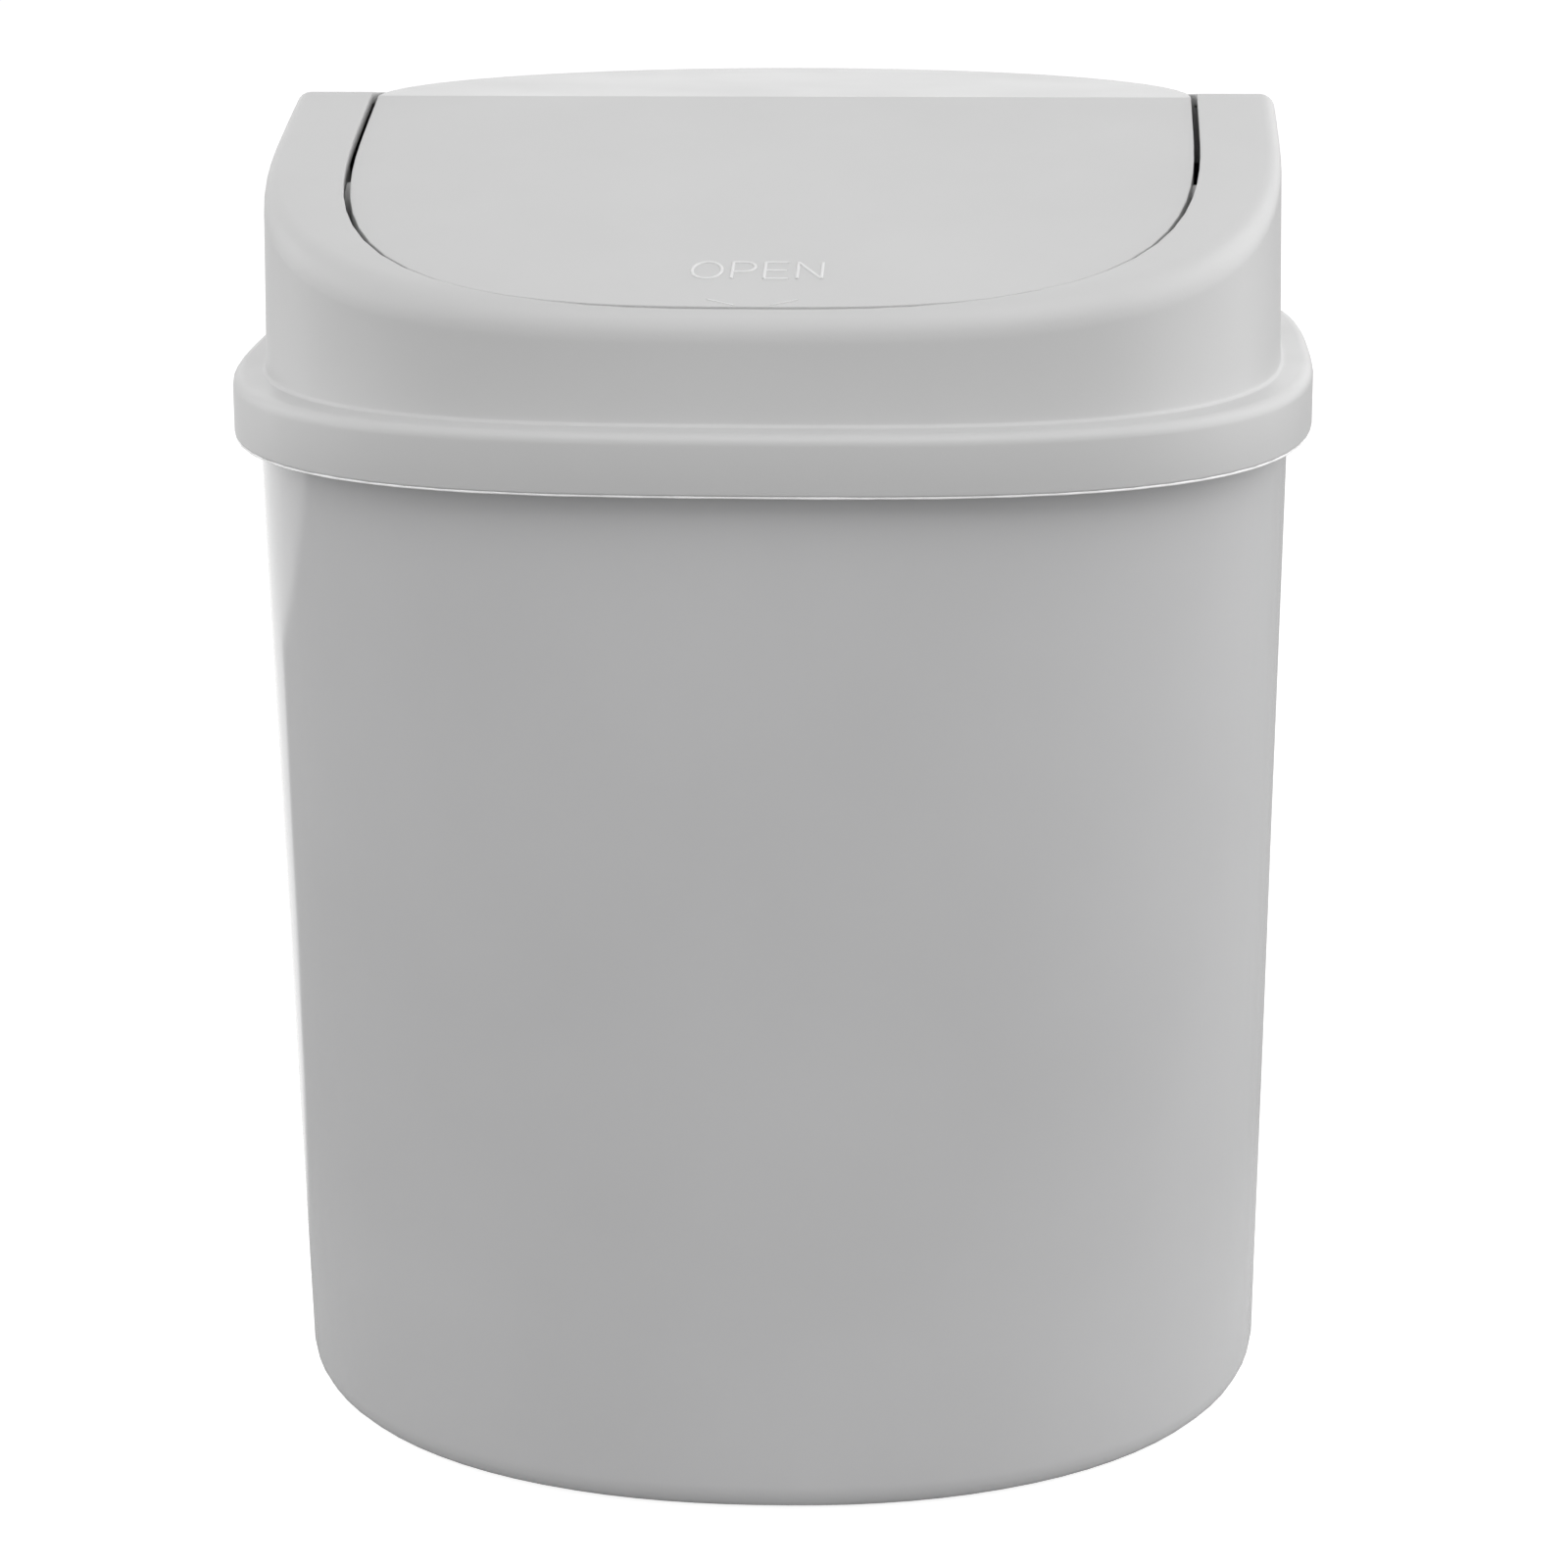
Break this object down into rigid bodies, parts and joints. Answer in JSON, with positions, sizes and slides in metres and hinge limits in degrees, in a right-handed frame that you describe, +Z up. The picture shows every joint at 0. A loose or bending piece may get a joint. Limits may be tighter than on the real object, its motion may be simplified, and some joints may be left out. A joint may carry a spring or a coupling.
{
  "type": "countertop waste bin",
  "caption": "Small countertop waste bin: tapered rounded pail with a lift-off sloping hood and a push flap that swings on stub pins.",
  "frame": {"origin": "centre of the footprint, on the surface the bin stands on", "axes": "+X to the right seen from the front, +Y to the back, +Z up; the push panel slopes down towards -Y"},
  "size_m": [0.14, 0.1346, 0.1723],
  "materials": {
    "pail_plastic": "smooth moulded grey plastic",
    "hood_plastic": "satin moulded light grey plastic",
    "flap_plastic": "satin moulded pale grey plastic"
  },
  "bodies": {
    "bin_body": {"bin_body": "pail_plastic"},
    "lid_frame": {"lid_frame": "hood_plastic"},
    "swing_flap": {"swing_flap": "flap_plastic"}
  },
  "joints": [
    {"name": "lid_lift", "type": "slide", "parent": "bin_body", "child": "lid_frame", "axis": [0, 0, 1], "range_m": [0, 0.06]},
    {"name": "flap_swing", "type": "hinge", "parent": "lid_frame", "child": "swing_flap", "pos_m": [0, -0.017, 0.16], "axis": [1, 0, 0], "range_deg": [0, 60]}
  ]
}
